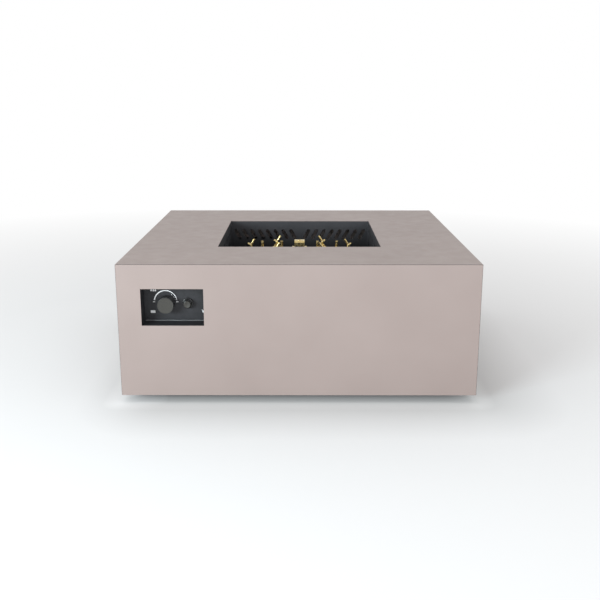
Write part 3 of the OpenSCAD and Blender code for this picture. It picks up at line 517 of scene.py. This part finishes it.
def inkShapes(name, outlines, axisX, axisZ):
    points, faces = [], []
    for outline in outlines:
        p, f = inkPrism(np.asarray(outline, float))
        faces += [[v + sum(len(q) for q in points) for v in face] for face in f]
        points.append(p)
    mesh = bpy.data.meshes.new(name)
    mesh.from_pydata(onPlate(np.vstack(points), axisX, axisZ, plateY).tolist(), [], faces)
    mesh.materials.append(whiteInk)
    shape = bmesh.new()
    shape.from_mesh(mesh)
    bmesh.ops.triangulate(shape, faces=[f for f in shape.faces if len(f.verts) > 4])
    bmesh.ops.recalc_face_normals(shape, faces=shape.faces)
    shape.to_mesh(mesh)
    shape.free()
    piece = bpy.data.objects.new(name, mesh)
    bpy.context.scene.collection.objects.link(piece)
    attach(piece, "table")
    return piece


def bar(x, y, wide, high, lean=0.0):
    corners = np.array([[-1, -1], [1, -1], [1, 1], [-1, 1]]) * [wide / 2, high / 2]
    turn = np.array([[math.cos(lean), math.sin(lean)], [-math.sin(lean), math.cos(lean)]])
    return corners @ turn + [x, y]


def drop(x, y, high):
    # a flame-like drop: a circle drawn out to a point at the top
    a = np.linspace(0, 2 * np.pi, 24, endpoint=False)
    pull = np.clip(np.sin(a), 0, 1) ** 3
    across = x + 0.34 * high * np.cos(a) * (1 - pull)
    return np.stack([across, y + high * (0.34 * np.sin(a) + 0.32 * pull)], -1)


def dialPieces():
    # the arc tapers from the full-flame end at nine o'clock to the low end at three
    angle = np.radians(np.linspace(172, 7, 64))
    t = np.linspace(0, 1, 64)
    half = (dial["thick"] + (dial["thin"] - dial["thick"]) * np.clip((t - 0.35) / 0.65, 0, 1)) / 2
    ray = np.stack([np.cos(angle), np.sin(angle)], -1)
    arc = np.vstack([ray * (dial["radius"] + half)[:, None], (ray * (dial["radius"] - half)[:, None])[::-1]])
    tickX = dial["radius"] + 1 * mm
    ticks = [bar(side * tickX, -0.6 * mm, dial["tickLong"], dial["tickWide"]) for side in (-1, 1)]
    centreX, centreZ = knobX - dial["left"], knobZ + dial["up"]
    small = [bar(28.6 * mm * math.cos(a), 28.6 * mm * math.sin(a), 1.0 * mm, 3.0 * mm, math.pi / 2 - a)
             for a in np.radians([12, 30, 48])]
    inkShapes("dialArc", [arc] + ticks, centreX, centreZ)
    inkShapes("dialTicks", small, centreX, centreZ)
    full = [drop(-42 * mm + 6 * i * mm, 34.5 * mm, 7.5 * mm) for i in (0, 1, 2)]
    inkShapes("flameMarks", full, centreX, centreZ)
    off = [bar(-39 * mm, -31 * mm + 2.6 * i * mm, 14 * mm, 2.1 * mm) for i in (-1, 0, 1)]
    inkShapes("offMark", off, centreX, centreZ)
    spark = np.array([[-1, 6], [6.5, 1.5], [4, 0.2], [9, -6], [0.5, -1.5], [4, 0]]) * mm
    inkShapes("sparkMark", [spark], buttonX + 40.5 * mm, centreZ - 30 * mm)


dialPieces()
print("dial printed")


weld = dict(radius=2.2 * mm, ripple=0.35 * mm, pitch=3.2 * mm, rows=160, sides=14)


def cornerWelds():
    # a bead down each inner corner of the fire tray: a round bar whose radius swells once for each puddle
    tray = np.array([v.co for v in nodes["fire_tray"].data.vertices])
    levels = np.unique(np.round(tray[:, 2], 5))
    trayFloor = levels[1]                     # the lowest level is the underside
    inner = np.abs(tray[np.abs(tray[:, 2] - trayFloor) < 1e-5, 0]).max()
    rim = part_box("top_panel")[0][2] - 0.5 * mm
    height = np.linspace(trayFloor, rim, weld["rows"])
    swell = weld["radius"] + weld["ripple"] * np.abs(np.sin(np.pi * height / weld["pitch"]))
    profile = np.column_stack([swell, height])
    profile = np.vstack([[0, trayFloor], profile, [0, rim]])
    points, faces = turned(profile, weld["sides"])
    for sideX, nameX in ((-1, "left"), (1, "right")):
        for sideY, nameY in ((-1, "front"), (1, "back")):
            bead = makePiece("trayWeld_%s_%s" % (nameY, nameX), points + [sideX * inner, sideY * inner, 0],
                             faces, trayBlack)
            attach(bead, "table")


cornerWelds()
print("tray welds laid")


def routeCurve(route, steps=12):
    # a Catmull-Rom curve through the inner points, with the first and last stretch straight
    p = np.asarray(route, float)
    t = (np.arange(steps) / steps)[:, None]
    runs = [p[:1]]
    for i in range(1, len(p) - 2):
        a, b, c, d = p[i - 1], p[i], p[i + 1], p[i + 2]
        runs.append(0.5 * (2 * b + (c - a) * t + (2 * a - 5 * b + 4 * c - d) * t ** 2
                           + (3 * b - a - 3 * c + d) * t ** 3))
    runs.append(p[-2:])
    return np.vstack(runs)


def evenly(path, step):
    # the same path with points a fixed distance apart
    along = np.concatenate([[0], np.cumsum(np.linalg.norm(np.diff(path, axis=0), axis=1))])
    marks = np.linspace(0, along[-1], max(8, int(along[-1] / step)))
    return np.stack([np.interp(marks, along, path[:, k]) for k in range(3)], -1), marks


def sweptLine(path, radii, sides):
    # a circle carried along the path without twisting: each ring's first direction is the last one's,
    # made square to the new tangent
    tangent = np.gradient(path, axis=0)
    tangent /= np.linalg.norm(tangent, axis=1)[:, None]
    first = np.cross(tangent[0], [0.2, 1, 0] if abs(tangent[0][2]) > 0.8 else [0, 0, 1])
    normals = [first / np.linalg.norm(first)]
    for t in tangent[1:]:
        n = normals[-1] - (normals[-1] @ t) * t
        normals.append(n / np.linalg.norm(n))
    normals = np.array(normals)
    angle = np.linspace(0, 2 * np.pi, sides, endpoint=False)
    side = np.cross(tangent, normals)
    ring = np.cos(angle)[None, :, None] * normals[:, None] + np.sin(angle)[None, :, None] * side[:, None]
    points = path[:, None] + radii[:, None, None] * ring
    ends = [path[:1] + 0 * ring[:1, :, :], points.reshape(len(path), sides, 3),
            path[-1:] + 0 * ring[-1:, :, :]]
    return np.concatenate(ends).reshape(-1, 3), gridFaces(len(path) + 2, sides)


# coils in the control's push springs; the outer size comes from the CAD springs' boxes, and the wire is given
# below
springs = {"knobSpring": dict(node="knob_spring", joint="knob_push", coils=3),
           "igniterSpring": dict(node="igniter_spring", joint="button_push", coils=4)}
springWire = 0.45 * mm


def springPiece(name, node, joint, coils):
    # a helix round an axis along Y, evenly pitched along the spring's box
    low, high = np.array(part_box(node))
    centre = (low + high) / 2
    meanR = (high[0] - low[0]) / 2 - springWire
    t = np.linspace(0, 1, 24 * coils + 1)
    turn = 2 * np.pi * coils * t
    along = high[1] - springWire + (low[1] - high[1] + 2 * springWire) * t
    path = np.stack([centre[0] + meanR * np.cos(turn), along, centre[2] + meanR * np.sin(turn)], -1)
    points, faces = sweptLine(path, np.full(len(path), springWire), 10)
    coil = makePiece(name, points, faces, zinc)
    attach(coil, "table")
    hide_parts(node)
    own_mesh(coil)


for name, spring in springs.items():
    springPiece(name, **spring)
print("springs coiled")


# the groove between two panels is as wide as the sheets stand back from the corner; painted shade: a black
# rubber bar fills it to just below its mouth, standing in for the groove's shadow
seamShade = dict(below=0.12 * mm, deep=1.3 * mm, clear=0.02 * mm)


def seamShadeBars():
    # a flat black bar of painted shade on the diagonal of each edge: its section is the groove's mouth moved
    # inwards
    half = cadBounds[1][0]
    top = cadBounds[1][2]
    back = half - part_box("top_panel")[1][0]
    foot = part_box("front_panel")[0][2]
    mouth = np.array([[-back + seamShade["clear"], 0], [0, -back + seamShade["clear"]]]) - seamShade["below"]
    section = np.vstack([mouth, mouth[::-1] - seamShade["deep"]])
    for turns, name in enumerate(("right", "back", "left", "front")):
        cos, sin = [1, 0, -1, 0][turns], [0, 1, 0, -1][turns]
        upright = np.array([[half + u, half + v, z] for z in (foot, top - 2 * back) for u, v in section])
        level = np.array([[half + u, y, top + v]
                          for y in (2 * back - half, half - 2 * back) for u, v in section])
        for kind, points in (("corner", upright), ("ridge", level)):
            x, y, z = points.T
            spun = np.column_stack([cos * x - sin * y, sin * x + cos * y, z])
            faces = np.array([[0, 1, 2, 3], [4, 5, 6, 7], [0, 1, 5, 4],
                              [1, 2, 6, 5], [2, 3, 7, 6], [3, 0, 4, 7]])
            bead = makePiece("sealant_%s_%s" % (kind, name), spun, faces, rubber, 20)
            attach(bead, "table")


seamShadeBars()
print("seams shaded")


# sizes in mm; a rib every ribMm along a corrugated line, and plain cuffs at both ends
lineShape = dict(ribMm=4.2, ribDeep=1.3, cuffMm=18, gap=0.1, fineStep=0.7, plainStep=2.5)


def linePiece(name, node, body, route, radiusMm, sides, material, corrugated):
    k = lineShape
    step = k["fineStep"] if corrugated else k["plainStep"]
    path, marks = evenly(routeCurve(np.array(route) * mm), step * mm)
    radii = np.full(len(path), (radiusMm - k["gap"]) * mm)
    if corrugated:
        fade = np.clip((np.minimum(marks, marks[-1] - marks) / mm - k["cuffMm"]) / 6, 0, 1)
        radii -= fade * k["ribDeep"] * mm * (0.5 - 0.5 * np.cos(2 * np.pi * marks / (k["ribMm"] * mm)))
    points, faces = sweptLine(path, radii, sides)
    piece = makePiece(name, points, faces, material, 60)
    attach(piece, body)
    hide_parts(node)
    print(name, round(marks[-1], 3), "m long")


def middle(node):
    low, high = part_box(node)
    return [(a + b) / 2 / mm for a, b in zip(low, high)]


def gasLines():
    plate = plateY / mm
    axis = knobZ / mm
    knob = knobX / mm
    button = buttonX / mm
    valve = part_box("gas_valve")
    outletY = plate + 32
    outletZ = valve[0][2] / mm
    inletX, inletY = middle("gas_inlet")[:2]
    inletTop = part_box("gas_inlet")[1][2] / mm
    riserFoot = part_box("burner_riser")[0][2] / mm
    valveEnd = valve[1][1] / mm
    spark = [*middle("spark_electrode")[:2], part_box("spark_electrode")[0][2] / mm]
    probe = [*middle("thermocouple")[:2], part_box("thermocouple")[0][2] / mm]
    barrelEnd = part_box("igniter_barrel")[1][1] / mm
    linePiece("burnerHose", "burner_line", "table", [
        [knob, outletY, outletZ], [knob, outletY, outletZ - 16], [-372, -400, 212], [-290, -330, 186],
        [-190, -200, 182], [-95, -90, 188], [-28, -22, 205], [0, 0, riserFoot - 18], [0, 0, riserFoot]],
        8, 28, zinc, True)
    linePiece("inletHose", "inlet_line", "table", [
        [inletX, inletY, inletTop], [inletX, inletY, inletTop + 18], [-466, 30, 175], [-450, -80, 230],
        [-436, -220, 276], [-412, -320, 298], [knob, valveEnd + 22, axis], [knob, valveEnd, axis]],
        8, 28, zinc, True)
    linePiece("ignitionLead", "ignition_lead", "table", [
        spark, [spark[0], spark[1], spark[2] - 12], [10, -80, 254], [-40, -140, 248], [-160, -250, 246],
        [-270, -330, 262], [button, barrelEnd + 16, axis], [button, barrelEnd, axis]],
        2, 16, rubber, False)
    linePiece("thermocoupleTube", "thermocouple_lead", "table", [
        probe, [probe[0], probe[1], probe[2] - 12], [-22, -76, 264], [-70, -140, 262], [-190, -240, 272],
        [-280, -310, 306], [-350, -356, 318], [-362, -410, 312], [knob + 34, plate + 30, axis + 12],
        [knob + 20, plate + 30, axis + 12]],
        2, 16, copper, False)


gasLines()
print("gas lines and leads run")


# thread pitch is real; a stud's hexagon has its corners turned off at 30 degrees
studShape = dict(pitch=1.5 * mm, cut=0.45 * mm, perPitch=8, sides=40,
                 hexFlat=19 * mm, hexHigh=8 * mm, chamfer=1.2 * mm)


def footStuds():
    k = studShape
    for place in ("front_left", "front_right", "back_left", "back_right"):
        low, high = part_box("foot_stud_" + place)
        centre = [(low[0] + high[0]) / 2, (low[1] + high[1]) / 2, 0]
        radius = 5 * mm
        foot, top = low[2], high[2]
        rows = int((top - foot - k["hexHigh"]) / k["pitch"] * k["perPitch"])
        height = np.linspace(foot + k["hexHigh"], top - 1 * mm, rows)
        shank = np.column_stack([np.full(rows, radius), height])
        start = foot + k["hexHigh"] - 1 * mm
        profile = np.vstack([[0, start], [radius - k["cut"], start], shank, [radius - 1 * mm, top], [0, top]])

        def thread(angle, z, round):
            # a helical groove: the radius follows a triangle wave in height plus angle
            turn = (z / k["pitch"] + angle / (2 * np.pi)) % 1
            cut = round - k["cut"] * 2 * np.abs(turn - 0.5)
            return np.where((z > foot + k["hexHigh"]) & (z < top), cut, round)

        points, faces = turned(profile, k["sides"], thread)
        stud = makePiece("threadedStud_" + place, points + centre, faces, zinc)
        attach(stud, "foot_" + place)
        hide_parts("foot_stud_" + place)
        corner = k["hexFlat"] / math.sqrt(3)
        c = k["chamfer"]
        nutTop = foot + k["hexHigh"]
        nut = [[0, foot], [corner - c, foot], [corner, foot + c * 0.58], [corner, nutTop - c * 0.58],
               [corner - c, foot + k["hexHigh"]], [0, foot + k["hexHigh"]]]

        def sixFlats(angle, z, round):
            # the flat's distance divided by the cosine of the angle from its middle
            away = (angle + np.pi / 6) % (np.pi / 3) - np.pi / 6
            return np.minimum(round, k["hexFlat"] / 2 / np.cos(away))

        points, faces = turned(nut, 96, sixFlats)
        hexagon = makePiece("studHexagon_" + place, points + centre, faces, zinc, 20)
        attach(hexagon, "foot_" + place)


footStuds()
print("levelling studs threaded")


def plateEdgeHighlight():
    # painted highlight: a half-round bead of bright cast aluminium along the control plate's folded lip,
    # standing in for the light its edge catches
    wide = 1.3 * mm
    front = plateLow[1] + 0.2 * mm
    lipTop = plateLow[2] + 1.5 * mm
    angle = np.linspace(0, 2 * np.pi, 12, endpoint=False)
    ends = np.array([plateLow[0] + 1 * mm, plateHigh[0] - 1 * mm])
    ring = np.stack([front + wide / 2 * np.cos(angle), lipTop - wide / 2 + wide / 2 * np.sin(angle)], -1)
    points = np.array([[x, y, z] for x in ends for y, z in ring])
    points = np.vstack([np.array([[ends[0], front, lipTop - wide / 2]] * 12), points,
                        np.array([[ends[1], front, lipTop - wide / 2]] * 12)])
    bead = makePiece("plateEdgeHighlight", points, gridFaces(4, 12), aluminium)
    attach(bead, "table")


plateEdgeHighlight()


# the floor's darker colour near the box is a painted shadow, and its glow under the box's edge is painted
# light
studioLook = dict(floor="#dadada", paintedShadow="#b4b4b3", shadowReach=0.27, shadowHalf=0.47, shadowRight=0.07,
                  paintedGlow=0.15, glowReach=0.06, glowUnder=0.1,
                  fadeFrom=1.1, fadeTo=3.6, fadeLeft=0.22, air=1.0)


def awayFrom(tree, place, right, halfX, halfY):
    # distance outside a rectangle: length of max(|p - centre| - half sizes, 0)
    centre = (right, 0, 0)
    shifted = addNode(tree, "VectorMath", {"operation": "SUBTRACT"}, {0: place, 1: centre}).outputs["Vector"]
    folded = addNode(tree, "VectorMath", {"operation": "ABSOLUTE"}, {0: shifted}).outputs["Vector"]
    edge = (halfX, halfY, 0)
    signed = addNode(tree, "VectorMath", {"operation": "SUBTRACT"}, {0: folded, 1: edge}).outputs["Vector"]
    outside = addNode(tree, "VectorMath", {"operation": "MAXIMUM"}, {0: signed, 1: (0, 0, 0)})
    outside = outside.outputs["Vector"]
    return addNode(tree, "VectorMath", {"operation": "LENGTH"}, {0: outside}).outputs["Value"]


def floorPiece():
    size = 14.0
    points = np.array([[-size, -size, 0], [size, -size, 0], [size, size, 0], [-size, size, 0]])
    floor = makePiece("studioFloor", points, np.array([[0, 1, 2, 3]]), None)
    material, tree, surface = newMaterial("studioPaper", Roughness=0.9)
    surface.inputs["Specular IOR Level"].default_value = 0.1
    place = addNode(tree, "TexCoord").outputs["Object"]
    half = cadBounds[1][1]
    # painted shadow: the paper's colour darkens towards the box, reaching further on its right side
    away = awayFrom(tree, place, studioLook["shadowRight"], studioLook["shadowHalf"], half)
    clear = spread(tree, away, 0, 1, 0, studioLook["shadowReach"])
    eased = addNode(tree, "Math", {"operation": "POWER"}, {0: clear, 1: 0.5}).outputs["Value"]
    varyColour(tree, surface, eased, studioLook["paintedShadow"], studioLook["floor"])
    # painted light: the paper glows a little near and under the box's edge, so the gap under it doesn't go
    # black
    ahead = awayFrom(tree, place, 0, half, half)
    before = spread(tree, ahead, studioLook["paintedGlow"], 0, 0, studioLook["glowReach"])
    deep = half - studioLook["glowUnder"]
    behind = spread(tree, awayFrom(tree, place, 0, deep, deep), 0, 1, 0, studioLook["glowUnder"])
    under = addNode(tree, "Math", {"operation": "MULTIPLY"}, {0: before, 1: behind}).outputs["Value"]
    surface.inputs["Emission Color"].default_value = [1, 1, 1, 1]
    tree.links.new(under, surface.inputs["Emission Strength"])
    # the paper sweeps up to plain white in the distance
    middle = (studioLook["fadeLeft"], 0, 0)
    shifted = addNode(tree, "VectorMath", {"operation": "ADD"}, {0: place, 1: middle}).outputs["Vector"]
    far = addNode(tree, "VectorMath", {"operation": "LENGTH"}, {0: shifted}).outputs["Value"]
    fade = spread(tree, far, 0, 1, studioLook["fadeFrom"], studioLook["fadeTo"])
    white = addNode(tree, "Emission", inputs={"Color": [1, 1, 1, 1], "Strength": 1.0})
    mix = addNode(tree, "MixShader",
                  inputs={0: fade, 1: surface.outputs["BSDF"], 2: white.outputs["Emission"]})
    output = [node for node in tree.nodes if node.type == "OUTPUT_MATERIAL"][0]
    tree.links.new(mix.outputs["Shader"], output.inputs["Surface"])
    floor.data.materials.clear()
    floor.data.materials.append(material)


def softLight(name, place, target, size, watts, colour="#ffffff"):
    light = bpy.data.lights.new(name, "AREA")
    light.shape = "RECTANGLE"
    light.size, light.size_y = size
    light.energy = watts
    light.color = linearColour(colour)[:3]
    lamp = bpy.data.objects.new(name, light)
    bpy.context.scene.collection.objects.link(lamp)
    away = np.array(place) - np.array(target)
    lamp.location = place
    lamp.rotation_euler = (math.acos(away[2] / np.linalg.norm(away)), 0, math.atan2(away[0], -away[1]))
    return lamp


def studio():
    floorPiece()
    scene = bpy.context.scene
    world = bpy.data.worlds.new("studioAir")
    scene.world = world
    world.use_nodes = True
    air = world.node_tree.nodes["Background"]
    air.inputs["Color"].default_value = [1, 1, 1, 1]
    air.inputs["Strength"].default_value = studioLook["air"]
    softLight("keyLight", (-2.9, -3.6, 1.15), (-0.3, -0.4, 0.25), (1.8, 1.3), 218, "#e4f1f6")
    softLight("fillLight", (1.2, -4.6, 1.0), (0.2, -0.5, 0.25), (2.6, 1.2), 62, "#f6faff")
    scene.view_settings.view_transform = "Standard"


def cameraPlace():
    camera = bpy.data.cameras.new("camera")
    camera.lens = 50
    camera.sensor_width = 36
    seat = bpy.data.objects.new("camera", camera)
    bpy.context.scene.collection.objects.link(seat)
    seat.location = (0.0095, -2.8912, 0.9332)
    seat.rotation_euler = (math.radians(90 - 14.55), 0, math.radians(0.155))
    bpy.context.scene.camera = seat


studio()
cameraPlace()
print("studio lit")
